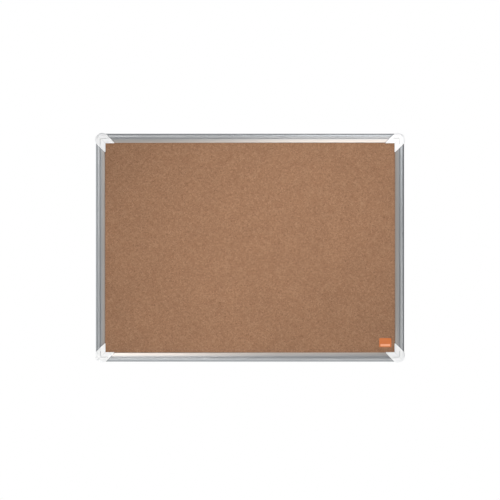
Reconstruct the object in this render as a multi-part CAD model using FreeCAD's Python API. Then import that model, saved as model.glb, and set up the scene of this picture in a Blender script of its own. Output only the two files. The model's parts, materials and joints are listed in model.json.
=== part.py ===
"""Framed cork notice board, built as its separate pieces and written as one STEP file for each.

The board hangs upright. Its front looks along -Y, +Z is up, and the wall is the plane y = 0. The origin
is the centre of the board on that wall plane. Four extruded rails hold a laminated panel. Moulded corner
brackets join the rails, corner caps cover the joints, and two hangers slide in the top rail's rear slot.

Sections are drawn in two local measures: u runs inward from a rail's outer face towards the middle of
the board, and d runs forward from the rails' rear rim. A corner piece uses a and b, which run inward from
the two outer faces that meet there. All sizes are in millimetres.
"""

import FreeCAD
import Part
import math
import os

Vector = FreeCAD.Vector

# ---------------------------------------------------------------- board and panel
BOARD_WIDTH = 600.0
BOARD_HEIGHT = 444.0
CORK_THICKNESS = 1.6
CORE_THICKNESS = 6.0
LINER_THICKNESS = 0.4
PANEL_EDGE_CLEARANCE = 0.2
PANEL_PLAY = 0.05

# ---------------------------------------------------------------- rail section
OUTER_WALL = 1.4
SKIN = 1.2
CHAMBER_WIDTH = 6.6
RECESS_DEPTH = 3.2
SLOT_WIDTH = 4.4
FLANGE_REACH = 6.4
RAIL_WIDTH = 18.0
LIP_PAD_WIDTH = 1.8
LIP_PAD_HEIGHT = 0.5
NOSE_HEIGHT = 1.25
NOSE_WIDTH = 1.0
NOSE_FALL = 0.7
BAND_FALL = 1.35
BEAD_RISE = 0.5
BEAD_RADIUS = 4.9
BEAD_FALL = 0.3
BEAD_WIDTH = 8.5
GROOVE_WIDTH = 1.5
GROOVE_DEPTH = 0.8
GROOVE_DRAFT = 0.3

# ---------------------------------------------------------------- corner caps
CAP_OUTSET = 1.6
CAP_CLEARANCE = 0.15
CAP_REACH = 0.8
CAP_CORNER_RADIUS = 14.0
CAP_END = 19.0
CAP_TIP_TRIM = 1.2
BOSS_RADIUS = 3.0
BOSS_PLACE = 6.5

# ---------------------------------------------------------------- corner brackets
RAIL_END_CLEARANCE = 0.2
BRACKET_GAP = 0.2
BRACKET_PLATE_REAR = 1.0
BRACKET_PLATE_SIZE = 22.0
BRACKET_BLOCK_FRONT = 8.0
BRACKET_BORE_CLEARANCE = 0.1
LEG_LENGTH = 28.0
LEG_HEIGHT = 6.8
LEG_ROOT = 3.0
LEG_TIP_CHAMFER = 1.2

# ---------------------------------------------------------------- wall bumpers
BUMPER_PROUD = 0.8
BUMPER_RADIUS = 4.25
BUMPER_FACE_RADIUS = 3.6
BUMPER_POCKET = 0.8
BUMPER_PLACE = 12.5
BUMPER_CLEARANCE = 0.1

# ---------------------------------------------------------------- screws
SCREW_CLEARANCE = 0.05
DRIVE_SLOT = 0.8
DRIVE_DEPTH = 0.9
DRIVE_SHARE = 0.6
HEAD_TAPER = 0.82
LEG_SCREW = {"head_radius": 3.2, "head_height": 1.7, "radius": 1.45, "length": 6.8}
LEG_SCREW_PLACE = 12.0
CAP_SCREW = {"head_radius": 2.7, "head_height": 1.5, "radius": 1.5, "length": 10.0}
CAP_SCREW_SINK = 0.1
HANGER_SCREW = {"head_radius": 2.8, "head_height": 1.6, "radius": 1.5, "length": 6.5}

# ---------------------------------------------------------------- hangers
HANGER_REST = 190.0
HANGER_WIDTH = 26.0
HANGER_THICKNESS = 1.1
HANGER_LENGTH = 42.0
HANGER_RUNNING_GAP = 0.1
HANGER_TOP_GAP = 0.6
HANGER_REAR = 0.5
JOGGLE_RUN = 2.4
JOGGLE_INNER_SHIFT = 0.6
PLATE_HOLE_CLEARANCE = 0.15
HANGER_BOTTOM_RADIUS = 4.0
HANGER_TOP_RADIUS = 1.5
KEYHOLE_RADIUS = 5.0
KEYHOLE_MARGIN = 8.0
KEYHOLE_DROP = 9.0
KEYHOLE_SLOT_WIDTH = 5.0
PIP_RADIUS = 1.8
PIP_HEIGHT = 1.0
PIP_PLACE = 8.5
DENT_RADIUS = 1.44
NUT_LENGTH = 24.0
NUT_HEIGHT = 3.0
NUT_SIDE_GAP = 0.3

# ---------------------------------------------------------------- label on the cork
LABEL_WIDTH = 23.5
LABEL_HEIGHT = 17.5
LABEL_THICKNESS = 0.3
LABEL_SIDE_MARGIN = 7.0
LABEL_BOTTOM_MARGIN = 10.5
LABEL_CORNER_RADIUS = 1.6

# ---------------------------------------------------------------- places worked out from the sizes above
DECK_FRONT = RECESS_DEPTH + SKIN
WEB_OUTER = OUTER_WALL + CHAMBER_WIDTH
WEB_INNER = WEB_OUTER + SKIN
SLOT_CENTRE = OUTER_WALL + CHAMBER_WIDTH / 2
PANEL_INSET = WEB_INNER + PANEL_EDGE_CLEARANCE
LINER_REAR = DECK_FRONT + PANEL_PLAY
CORE_REAR = LINER_REAR + LINER_THICKNESS
CORK_REAR = CORE_REAR + CORE_THICKNESS
CORK_FACE = CORK_REAR + CORK_THICKNESS
LIP_BOTTOM = CORK_FACE + PANEL_PLAY
BAND_LOW = LIP_BOTTOM + NOSE_HEIGHT
BAND_HIGH = BAND_LOW + BAND_FALL
CROWN = BAND_HIGH + BEAD_RISE
BEAD_END = CROWN - BEAD_FALL
BAND_START = BEAD_WIDTH + GROOVE_WIDTH
GROOVE_FLOOR = BEAD_END - GROOVE_DEPTH
CAP_CENTRE = CAP_CORNER_RADIUS - CAP_OUTSET
CAP_TIP = CAP_END + RAIL_WIDTH - CAP_TIP_TRIM
RAIL_START = RAIL_WIDTH + RAIL_END_CLEARANCE
LEG_START = RAIL_START - LEG_ROOT
LEG_END = RAIL_START + LEG_LENGTH
LEG_REAR = DECK_FRONT + BRACKET_GAP
CORNERS = ("bottom_left", "top_left", "top_right", "bottom_right")

# ---------------------------------------------------------------- modelling aids
CUT_MARGIN = 1.0
TOLERANCE = 1e-6
SWAP_ARMS = FreeCAD.Matrix(0, 0, 1, 0, 0, 1, 0, 0, 1, 0, 0, 0, 0, 0, 0, 1)


# ---------------------------------------------------------------- drawing helpers
def at(u, d, s=0.0):
    """A point of the bottom rail's or bottom left corner's local frame: s or a along X, u or b up Z."""
    return Vector(s, -(BUMPER_PROUD + d), u)


def section(start, *steps, s=0.0):
    """A flat face across a rail at s. A step is a line's end, or the middle and the end of an arc."""
    here = at(*start, s)
    edges = []
    for step in steps + (start,):
        if isinstance(step[0], tuple):
            middle, end = at(*step[0], s), at(*step[1], s)
            edges.append(Part.Arc(here, middle, end).toShape())
        else:
            end = at(*step, s)
            edges.append(Part.LineSegment(here, end).toShape())
        here = end
    return Part.Face(Part.Wire(edges))


def quarter_middle(centre, radius, angle=135.0):
    """The point on a circle at an angle in degrees, for the middle of a quarter arc."""
    turn = math.radians(angle)
    return (centre[0] + radius * math.cos(turn), centre[1] + radius * math.sin(turn))


def block(a, b, d):
    """A box from three (low, high) pairs: along a, along b, and in depth d."""
    size = (a[1] - a[0], d[1] - d[0], b[1] - b[0])
    return Part.makeBox(*size, at(b[0], d[1], a[0]))


def peg(a, b, rear, front, radius, rear_radius=None):
    """A round peg along the depth between two depths, tapered if its rear radius differs."""
    height = front - rear
    foot = at(b, rear, a)
    if rear_radius is None or rear_radius == radius:
        return Part.makeCylinder(radius, height, foot, Vector(0, -1, 0))
    return Part.makeCone(rear_radius, radius, height, foot, Vector(0, -1, 0))


def depth_edges(body, **levels):
    """The body's edges that run along the depth, with both ends at the given X or Z."""
    along = [e for e in body.Edges if abs(e.Vertexes[0].Y - e.Vertexes[-1].Y) > TOLERANCE]
    for axis, level in levels.items():
        along = [e for e in along if all(abs(getattr(v, axis) - level) < TOLERANCE for v in e.Vertexes)]
    return along


def screw(a, b, head_rear, size):
    """A pan head screw driven from the rear, with a cross recess in its head."""
    head_front = head_rear + size["head_height"]
    head = peg(a, b, head_rear, head_front, size["head_radius"], size["head_radius"] * HEAD_TAPER)
    shank = peg(a, b, head_front, head_front + size["length"], size["radius"])
    reach = size["head_radius"] * DRIVE_SHARE
    depth = (head_rear - DRIVE_DEPTH, head_rear + DRIVE_DEPTH)
    half = DRIVE_SLOT / 2
    across = block((a - reach, a + reach), (b - half, b + half), depth)
    upright = block((a - half, a + half), (b - reach, b + reach), depth)
    return head.fuse(shank).cut(across.fuse(upright)).removeSplitter()


def rail_placement(side):
    """Carries a rail drawn at the bottom edge's local frame to one side of the board."""
    turn, move = {
        "bottom": (0, Vector(0, 0, -BOARD_HEIGHT / 2)),
        "left": (90, Vector(-BOARD_WIDTH / 2, 0, 0)),
        "top": (180, Vector(0, 0, BOARD_HEIGHT / 2)),
        "right": (-90, Vector(BOARD_WIDTH / 2, 0, 0)),
    }[side]
    return FreeCAD.Placement(move, FreeCAD.Rotation(Vector(0, 1, 0), turn))


def corner_placement(corner):
    """Carries a piece drawn at the bottom left corner's local frame to one corner of the board."""
    x = -BOARD_WIDTH / 2 if "left" in corner else BOARD_WIDTH / 2
    z = -BOARD_HEIGHT / 2 if "bottom" in corner else BOARD_HEIGHT / 2
    turn = {"bottom_left": 0, "top_left": 90, "top_right": 180, "bottom_right": -90}[corner]
    return FreeCAD.Placement(Vector(x, 0, z), FreeCAD.Rotation(Vector(0, 1, 0), turn))


def placed(shape, placement):
    """A copy of the shape, moved by the placement."""
    return shape.transformed(placement.toMatrix(), True)


# ---------------------------------------------------------------- rails
def rail_face(s):
    """The extrusion's section: rim wall, bead, groove, sloping band, panel channel and slotted chamber."""
    bead = (BEAD_RADIUS, CROWN - BEAD_RADIUS)
    inner_radius = BEAD_RADIUS - OUTER_WALL
    slot_low, slot_high = SLOT_CENTRE - SLOT_WIDTH / 2, SLOT_CENTRE + SLOT_WIDTH / 2
    chamber_front = BEAD_END - OUTER_WALL
    lip_under = LIP_BOTTOM + LIP_PAD_HEIGHT
    return section(
        (0, 0),
        (0, bead[1]),
        (quarter_middle(bead, BEAD_RADIUS), (BEAD_RADIUS, CROWN)),
        (((BEAD_RADIUS + BEAD_WIDTH) / 2, CROWN - BEAD_FALL / 4), (BEAD_WIDTH, BEAD_END)),
        (BEAD_WIDTH + GROOVE_DRAFT, GROOVE_FLOOR),
        (BAND_START - GROOVE_DRAFT, GROOVE_FLOOR),
        (BAND_START, BAND_HIGH),
        (RAIL_WIDTH - NOSE_WIDTH, BAND_LOW),
        (RAIL_WIDTH, BAND_LOW - NOSE_FALL),
        (RAIL_WIDTH, LIP_BOTTOM),
        (RAIL_WIDTH - LIP_PAD_WIDTH, LIP_BOTTOM),
        (RAIL_WIDTH - LIP_PAD_WIDTH, lip_under),
        (WEB_INNER, GROOVE_FLOOR - SKIN),
        (WEB_INNER, DECK_FRONT),
        (WEB_INNER + FLANGE_REACH, DECK_FRONT),
        (WEB_INNER + FLANGE_REACH, RECESS_DEPTH),
        (slot_high, RECESS_DEPTH),
        (slot_high, DECK_FRONT),
        (WEB_OUTER, DECK_FRONT),
        (WEB_OUTER, chamber_front),
        (BEAD_RADIUS, CROWN - OUTER_WALL),
        (quarter_middle(bead, inner_radius), (OUTER_WALL, bead[1])),
        (OUTER_WALL, DECK_FRONT),
        (slot_low, DECK_FRONT),
        (slot_low, RECESS_DEPTH),
        (OUTER_WALL, RECESS_DEPTH),
        (OUTER_WALL, 0),
        s=s,
    )


def rail(side):
    """One rail, cut square at both ends to start inside the corner caps."""
    run = BOARD_WIDTH if side in ("top", "bottom") else BOARD_HEIGHT
    length = run - 2 * RAIL_START
    drawn = rail_face(-length / 2).extrude(Vector(length, 0, 0))
    return placed(drawn, rail_placement(side))


# ---------------------------------------------------------------- corner caps
def cap_shell_face(s, limit):
    """The cap's outer section: the rail's front, grown outward, as far in as the limit."""
    bead = (BEAD_RADIUS, CROWN - BEAD_RADIUS)
    grown = BEAD_RADIUS + CAP_OUTSET
    edge = RAIL_WIDTH + CAP_REACH
    whole = section(
        (-CAP_OUTSET, 0),
        (-CAP_OUTSET, bead[1]),
        (quarter_middle(bead, grown), (BEAD_RADIUS, CROWN + CAP_OUTSET)),
        (
            ((BEAD_RADIUS + BEAD_WIDTH) / 2, CROWN + CAP_OUTSET - BEAD_FALL / 4),
            (BEAD_WIDTH, BEAD_END + CAP_OUTSET),
        ),
        (BEAD_WIDTH + GROOVE_DRAFT, GROOVE_FLOOR + CAP_OUTSET),
        (BAND_START - GROOVE_DRAFT, GROOVE_FLOOR + CAP_OUTSET),
        (BAND_START, BAND_HIGH + CAP_OUTSET),
        (edge - NOSE_WIDTH, BAND_LOW + CAP_OUTSET),
        (edge, BAND_LOW + CAP_OUTSET - NOSE_WIDTH),
        (edge, LIP_BOTTOM),
        (edge, 0),
        s=s,
    )
    front = CROWN + CAP_OUTSET + CUT_MARGIN
    kept = block((s - CUT_MARGIN, s + CUT_MARGIN), (-CAP_OUTSET - CUT_MARGIN, limit), (-CUT_MARGIN, front))
    return whole.common(kept).Faces[0]


def cap_cavity_face(s, limit):
    """The room inside the cap: the rail's front with the fitting clearance, open to the rear."""
    bead = (BEAD_RADIUS, CROWN - BEAD_RADIUS)
    gap = CAP_CLEARANCE
    edge = RAIL_WIDTH + gap
    whole = section(
        (-gap, -CUT_MARGIN),
        (-gap, bead[1]),
        (quarter_middle(bead, BEAD_RADIUS + gap), (BEAD_RADIUS, CROWN + gap)),
        (BEAD_WIDTH, BEAD_END + gap),
        (BAND_START, BAND_HIGH + gap),
        (RAIL_WIDTH - NOSE_WIDTH, BAND_LOW + gap),
        (edge, BAND_LOW + gap - NOSE_FALL),
        (edge, -CUT_MARGIN),
        s=s,
    )
    depth = (-2 * CUT_MARGIN, CROWN + gap + CUT_MARGIN)
    kept = block((s - CUT_MARGIN, s + CUT_MARGIN), (-gap - CUT_MARGIN, limit), depth)
    return whole.common(kept).Faces[0]


def turned_corner(face_at, inner_edge):
    """A section carried round a corner: two straight arms, and a quarter turn about the cap's centre."""
    arm = face_at(CAP_CENTRE, inner_edge).extrude(Vector(CAP_TIP - CAP_CENTRE, 0, 0))
    other_arm = arm.transformGeometry(SWAP_ARMS)
    turn = face_at(CAP_CENTRE, CAP_CENTRE).revolve(Vector(CAP_CENTRE, 0, CAP_CENTRE), Vector(0, 1, 0), 90)
    return arm.fuse([other_arm, turn])


def wing_cut():
    """The two wedges that cut the arms off at 45 degrees, so that the wings are longest beside the cork."""
    far = CAP_TIP + CAP_OUTSET + CUT_MARGIN
    depth = (-2 * CUT_MARGIN, CROWN + 2 * CAP_OUTSET)
    low = -CAP_OUTSET - CUT_MARGIN
    corners = [(CAP_END + low, low), (far, low), (far, far - CAP_END)]
    wedges = []
    for points in (corners, [(b, a) for a, b in corners]):
        ring = [at(b, depth[0], a) for a, b in points]
        face = Part.Face(Part.makePolygon(ring + ring[:1]))
        wedges.append(face.extrude(Vector(0, depth[0] - depth[1], 0)))
    return wedges


def corner_cap():
    """The moulded cap: a shell over both rail ends, with a boss for the screw that holds it."""
    shell = turned_corner(cap_shell_face, RAIL_WIDTH + CAP_REACH)
    room = turned_corner(cap_cavity_face, RAIL_WIDTH + CAP_CLEARANCE)
    beside_panel = (PANEL_INSET, CAP_TIP + CAP_OUTSET)
    panel_room = block(beside_panel, beside_panel, (-CUT_MARGIN, LIP_BOTTOM))
    hollow = shell.cut([room, panel_room])
    boss_hole = CAP_SCREW["radius"] + SCREW_CLEARANCE
    boss_rear = BRACKET_BLOCK_FRONT + BRACKET_GAP
    boss = peg(BOSS_PLACE, BOSS_PLACE, boss_rear, CROWN + CAP_OUTSET, BOSS_RADIUS).common(shell)
    screw_front = cap_screw_rear() + CAP_SCREW["head_height"] + CAP_SCREW["length"]
    hole = peg(BOSS_PLACE, BOSS_PLACE, boss_rear - CUT_MARGIN, screw_front + BRACKET_GAP, boss_hole)
    cap = hollow.fuse(boss).cut(hole)
    return cap.cut(wing_cut()).removeSplitter()


# ---------------------------------------------------------------- corner brackets
def cap_screw_rear():
    """The depth of the cap screw's head, sunk in the bracket's rear face."""
    return BRACKET_PLATE_REAR + CAP_SCREW_SINK


def rounded_corner(body, place, radius):
    """The body with its corner edge at a = b = place rounded."""
    return body.makeFillet(radius, depth_edges(body, X=place, Z=place))


def bracket_leg():
    """The leg that runs along X inside a rail's chamber, with a chamfered tip."""
    low = OUTER_WALL + BRACKET_GAP
    high = WEB_OUTER - BRACKET_GAP
    front = LEG_REAR + LEG_HEIGHT
    leg = block((LEG_START, LEG_END), (low, high), (LEG_REAR, front))
    tip = [e for e in leg.Edges if all(abs(v.X - LEG_END) < TOLERANCE for v in e.Vertexes)]
    leg = leg.makeChamfer(LEG_TIP_CHAMFER, tip)
    pilot = LEG_SCREW["radius"] + SCREW_CLEARANCE
    through = (LEG_REAR - CUT_MARGIN, front + CUT_MARGIN)
    return leg.cut(peg(RAIL_START + LEG_SCREW_PLACE, SLOT_CENTRE, *through, pilot))


def corner_bracket():
    """The moulded joint piece: a rear plate behind both rail ends, a block, and two legs at right angles."""
    low = OUTER_WALL + BRACKET_GAP
    plate_front = RECESS_DEPTH - HANGER_RUNNING_GAP
    across = (low, BRACKET_PLATE_SIZE)
    plate = block(across, across, (BRACKET_PLATE_REAR, plate_front))
    plate = rounded_corner(plate, BRACKET_PLATE_SIZE, BUMPER_RADIUS)
    plate = rounded_corner(plate, low, CAP_CENTRE - low)
    end = RAIL_START - BRACKET_GAP
    core = block((low, end), (low, end), (plate_front, BRACKET_BLOCK_FRONT))
    core = rounded_corner(core, low, CAP_CENTRE - low)
    panel_room = (PANEL_INSET - BRACKET_GAP, end + CUT_MARGIN)
    core = core.cut(block(panel_room, panel_room, (LEG_REAR - BRACKET_GAP, CROWN)))
    leg = bracket_leg()
    body = plate.fuse([core, leg, leg.transformGeometry(SWAP_ARMS)])
    rear = BRACKET_PLATE_REAR - CUT_MARGIN
    pocket_radius = BUMPER_RADIUS + BUMPER_CLEARANCE
    pocket_front = BRACKET_PLATE_REAR + BUMPER_POCKET
    pocket = peg(BUMPER_PLACE, BUMPER_PLACE, rear, pocket_front, pocket_radius)
    head_radius = CAP_SCREW["head_radius"] + BUMPER_CLEARANCE
    head_front = cap_screw_rear() + CAP_SCREW["head_height"]
    sink = peg(BOSS_PLACE, BOSS_PLACE, rear, head_front, head_radius)
    bore = CAP_SCREW["radius"] + BRACKET_BORE_CLEARANCE
    hole = peg(BOSS_PLACE, BOSS_PLACE, rear, BRACKET_BLOCK_FRONT + CUT_MARGIN, bore)
    return body.cut([pocket, sink, hole]).removeSplitter()


def wall_bumper():
    """A rubber pad in the bracket's pocket. Its rear face is the plane that touches the wall."""
    front = BRACKET_PLATE_REAR + BUMPER_POCKET
    return peg(BUMPER_PLACE, BUMPER_PLACE, -BUMPER_PROUD, front, BUMPER_RADIUS, BUMPER_FACE_RADIUS)


def leg_screws():
    """The two screws of one corner, driven through the rails' slots into the bracket's legs."""
    place = RAIL_START + LEG_SCREW_PLACE
    head_rear = RECESS_DEPTH - LEG_SCREW["head_height"]
    along = screw(place, SLOT_CENTRE, head_rear, LEG_SCREW)
    upright = screw(SLOT_CENTRE, place, head_rear, LEG_SCREW)
    return [along, upright]


# ---------------------------------------------------------------- panel
def panel_layer(rear, thickness):
    """One rectangular layer of the laminated panel."""
    half_width = BOARD_WIDTH / 2 - PANEL_INSET
    half_height = BOARD_HEIGHT / 2 - PANEL_INSET
    return block((-half_width, half_width), (-half_height, half_height), (rear, rear + thickness))


def label():
    """A plain rectangular label with rounded corners, stuck to the cork at the lower right."""
    right = BOARD_WIDTH / 2 - RAIL_WIDTH - LABEL_SIDE_MARGIN
    low = -BOARD_HEIGHT / 2 + RAIL_WIDTH + LABEL_BOTTOM_MARGIN
    across, upward = (right - LABEL_WIDTH, right), (low, low + LABEL_HEIGHT)
    plain = block(across, upward, (CORK_FACE, CORK_FACE + LABEL_THICKNESS))
    return plain.makeFillet(LABEL_CORNER_RADIUS, depth_edges(plain))


# ---------------------------------------------------------------- hangers
def hanger_plate():
    """A pressed steel hanger in a rail's local frame: flat behind the rail, joggled back, with a keyhole."""
    top = OUTER_WALL + HANGER_TOP_GAP
    bottom = top + HANGER_LENGTH
    front = RECESS_DEPTH - HANGER_RUNNING_GAP
    rear = front - HANGER_THICKNESS
    low_front = HANGER_REAR + HANGER_THICKNESS
    bend = WEB_INNER + FLANGE_REACH
    half = HANGER_WIDTH / 2
    strip = section(
        (top, front),
        (top, rear),
        (bend, rear),
        (bend + JOGGLE_RUN, HANGER_REAR),
        (bottom, HANGER_REAR),
        (bottom, low_front),
        (bend + JOGGLE_RUN + JOGGLE_INNER_SHIFT, low_front),
        (bend + JOGGLE_INNER_SHIFT, front),
        s=-half,
    ).extrude(Vector(HANGER_WIDTH, 0, 0))
    strip = strip.makeFillet(HANGER_BOTTOM_RADIUS, depth_edges(strip, Z=bottom))
    strip = strip.makeFillet(HANGER_TOP_RADIUS, depth_edges(strip, Z=top))
    keyhole = bottom - KEYHOLE_MARGIN
    neck = keyhole - KEYHOLE_DROP
    through = (-CUT_MARGIN, RECESS_DEPTH + CUT_MARGIN)
    neck_radius = KEYHOLE_SLOT_WIDTH / 2
    cuts = [
        peg(0, keyhole, *through, KEYHOLE_RADIUS),
        peg(0, neck, *through, neck_radius),
        block((-neck_radius, neck_radius), (neck, keyhole), through),
        peg(0, SLOT_CENTRE, *through, HANGER_SCREW["radius"] + PLATE_HOLE_CLEARANCE),
    ]
    pips = [peg(x, SLOT_CENTRE, front, front + PIP_HEIGHT, PIP_RADIUS) for x in (-PIP_PLACE, PIP_PLACE)]
    dent_depth = (rear - CUT_MARGIN, rear + HANGER_THICKNESS / 2)
    dents = [peg(x, SLOT_CENTRE, *dent_depth, DENT_RADIUS) for x in (-PIP_PLACE, PIP_PLACE)]
    return strip.fuse(pips).cut(cuts + dents).removeSplitter()


def hanger_nut():
    """The threaded bar that slides in the rail's chamber and clamps the hanger."""
    rear = DECK_FRONT + HANGER_RUNNING_GAP
    low, high = OUTER_WALL + NUT_SIDE_GAP, WEB_OUTER - NUT_SIDE_GAP
    bar = block((-NUT_LENGTH / 2, NUT_LENGTH / 2), (low, high), (rear, rear + NUT_HEIGHT))
    return bar.cut(peg(0, SLOT_CENTRE, 0, CROWN, HANGER_SCREW["radius"] + SCREW_CLEARANCE))


def hanger_screw():
    """The screw that clamps the hanger to its nut through the rail's slot."""
    head_rear = RECESS_DEPTH - HANGER_RUNNING_GAP - HANGER_THICKNESS - HANGER_SCREW["head_height"]
    return screw(0, SLOT_CENTRE, head_rear, HANGER_SCREW)


# ---------------------------------------------------------------- assembly
def assembly():
    """Every piece in its place, by node name."""
    nodes = {f"{side}_rail": rail(side) for side in ("top", "bottom", "left", "right")}
    cap, bracket, bumper = corner_cap(), corner_bracket(), wall_bumper()
    cap_screw = screw(BOSS_PLACE, BOSS_PLACE, cap_screw_rear(), CAP_SCREW)
    rail_screws, cap_screws = [], []
    for corner in CORNERS:
        where = corner_placement(corner)
        nodes[f"corner_cap_{corner}"] = placed(cap, where)
        nodes[f"corner_bracket_{corner}"] = placed(bracket, where)
        nodes[f"wall_bumper_{corner}"] = placed(bumper, where)
        rail_screws += [placed(s, where) for s in leg_screws()]
        cap_screws.append(placed(cap_screw, where))
    nodes["rail_screws"] = Part.makeCompound(rail_screws)
    nodes["cap_screws"] = Part.makeCompound(cap_screws)
    nodes["rear_liner"] = panel_layer(LINER_REAR, LINER_THICKNESS)
    nodes["core_board"] = panel_layer(CORE_REAR, CORE_THICKNESS)
    nodes["cork_sheet"] = panel_layer(CORK_REAR, CORK_THICKNESS)
    nodes["label"] = label()
    pieces = {"hanger_plate": hanger_plate(), "hanger_nut": hanger_nut(), "hanger_screw": hanger_screw()}
    for side, x in (("left", -HANGER_REST), ("right", HANGER_REST)):
        where = rail_placement("top")
        where.Base = where.Base + Vector(x, 0, 0)
        for name, piece in pieces.items():
            nodes[f"{name}_{side}"] = placed(piece, where)
    return nodes


def main():
    """Writes one STEP file for each node."""
    os.makedirs("parts", exist_ok=True)
    for name, shape in assembly().items():
        if not shape.isValid() or not shape.Solids:
            raise ValueError(f"{name} is not a valid solid")
        shape.exportStep(f"parts/{name}.step")
        print(f"{name}: {len(shape.Solids)} solids, {shape.Volume:.1f} mm3")


main()
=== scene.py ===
import json
import math

import bmesh
import bpy
import numpy as np
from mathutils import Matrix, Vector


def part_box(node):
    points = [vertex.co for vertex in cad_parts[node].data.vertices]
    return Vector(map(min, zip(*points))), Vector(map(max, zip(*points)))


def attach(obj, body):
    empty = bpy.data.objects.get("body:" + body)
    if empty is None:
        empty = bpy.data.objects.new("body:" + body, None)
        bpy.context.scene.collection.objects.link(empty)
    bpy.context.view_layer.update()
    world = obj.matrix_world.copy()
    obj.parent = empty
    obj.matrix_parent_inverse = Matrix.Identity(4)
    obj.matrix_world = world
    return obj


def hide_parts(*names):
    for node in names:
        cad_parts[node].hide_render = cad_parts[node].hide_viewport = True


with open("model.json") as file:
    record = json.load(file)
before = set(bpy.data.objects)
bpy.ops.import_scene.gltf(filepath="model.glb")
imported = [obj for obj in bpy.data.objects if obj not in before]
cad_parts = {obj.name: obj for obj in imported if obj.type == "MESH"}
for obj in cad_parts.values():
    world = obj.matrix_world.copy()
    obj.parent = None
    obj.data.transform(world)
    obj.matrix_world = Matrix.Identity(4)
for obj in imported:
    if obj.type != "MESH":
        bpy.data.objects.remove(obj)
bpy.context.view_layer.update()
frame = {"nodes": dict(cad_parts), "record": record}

# The looks of a framed cork notice board. All places are in metres in the board's own frame: the front looks
# along -Y, +Z is up, and the wall is the plane y = 0. Sections use u, inward from a rail's outer face, and d,
# forward from the rails' rear rim. A corner uses a and b, inward from the two outer faces that meet there.

bl_info = {
    "name": "Cork notice board",
    "version": (1, 0, 0),
    "blender": (4, 5, 0),
    "location": "View3D > Sidebar > Notice board",
    "description": "Builds the frame, cork, label, hangers and stage of a framed cork notice board",
    "category": "Add Mesh",
}

MM = 0.001
MERGE_DISTANCE = 1e-6
CORNERS = {"bottom_left": (-1, -1), "top_left": (-1, 1), "top_right": (1, 1), "bottom_right": (1, -1)}
SIDES = ("top", "bottom", "left", "right")

# ---- places read from the frame
TOP_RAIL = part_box("top_rail")
CAP_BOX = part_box("corner_cap_bottom_left")
CORK_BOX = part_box("cork_sheet")
HALF_WIDTH = -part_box("left_rail")[0].x
HALF_HEIGHT = TOP_RAIL[1].z
RIM = TOP_RAIL[1].y
CROWN = RIM - TOP_RAIL[0].y
RAIL_WIDTH = TOP_RAIL[1].z - TOP_RAIL[0].z
RAIL_START = HALF_WIDTH + TOP_RAIL[0].x
CAP_OUTSET = -HALF_WIDTH - CAP_BOX[0].x
CAP_TIP = HALF_WIDTH + CAP_BOX[1].x
CORK_FACE = RIM - CORK_BOX[0].y

# ---- small fixed sizes
FLAT_ANGLE = math.radians(0.5)
SHARP_ANGLE = math.radians(12)
SMOOTH_ANGLE = math.radians(30)
BEVEL_ANGLE = math.radians(40)
CROWN_RADIUS = 18 * MM
GROOVE_DRAFT = 0.3 * MM
LIP_EDGE = 0.25 * MM
FLOOR_EDGE = 0.15 * MM
NOSE_WIDTH = 1.0 * MM
NOSE_FALL = 0.7 * MM
FINE_EDGE = 0.1 * MM
LIP_GAP = 0.05 * MM
WING_END_DROP = 0.8
# Strength of the painted shade on a cap's mitre crease.
MITRE_SHADE = 0.6
RELIEF_SEED = 11
BAR_MARGIN, BAR_TOP, BAR_BLUR = 0.1, 0.34, 0.12 * MM
DISH_DEPTH, DISH_SHARE = 0.12 * MM, 0.6
FLOOR_THICKNESS = 20 * MM


# ---- settings
def length(name, millimetres, description):
    """A length property, given in millimetres."""
    return bpy.props.FloatProperty(
        name=name, default=millimetres * MM, description=description, unit="LENGTH", precision=5
    )


def power(name, watts, description):
    """The power of a light."""
    return bpy.props.FloatProperty(name=name, default=watts, min=0, description=description, unit="POWER")


def colour(name, red, green, blue, description):
    """A colour property, given as the eight-bit values of a paint chart and kept as linear light."""
    value = np.array([red, green, blue]) / 255
    linear = np.where(value <= 0.04045, value / 12.92, ((value + 0.055) / 1.055) ** 2.4)
    return bpy.props.FloatVectorProperty(
        name=name, default=tuple(map(float, linear)), description=description, subtype="COLOR", min=0, max=1
    )


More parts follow.
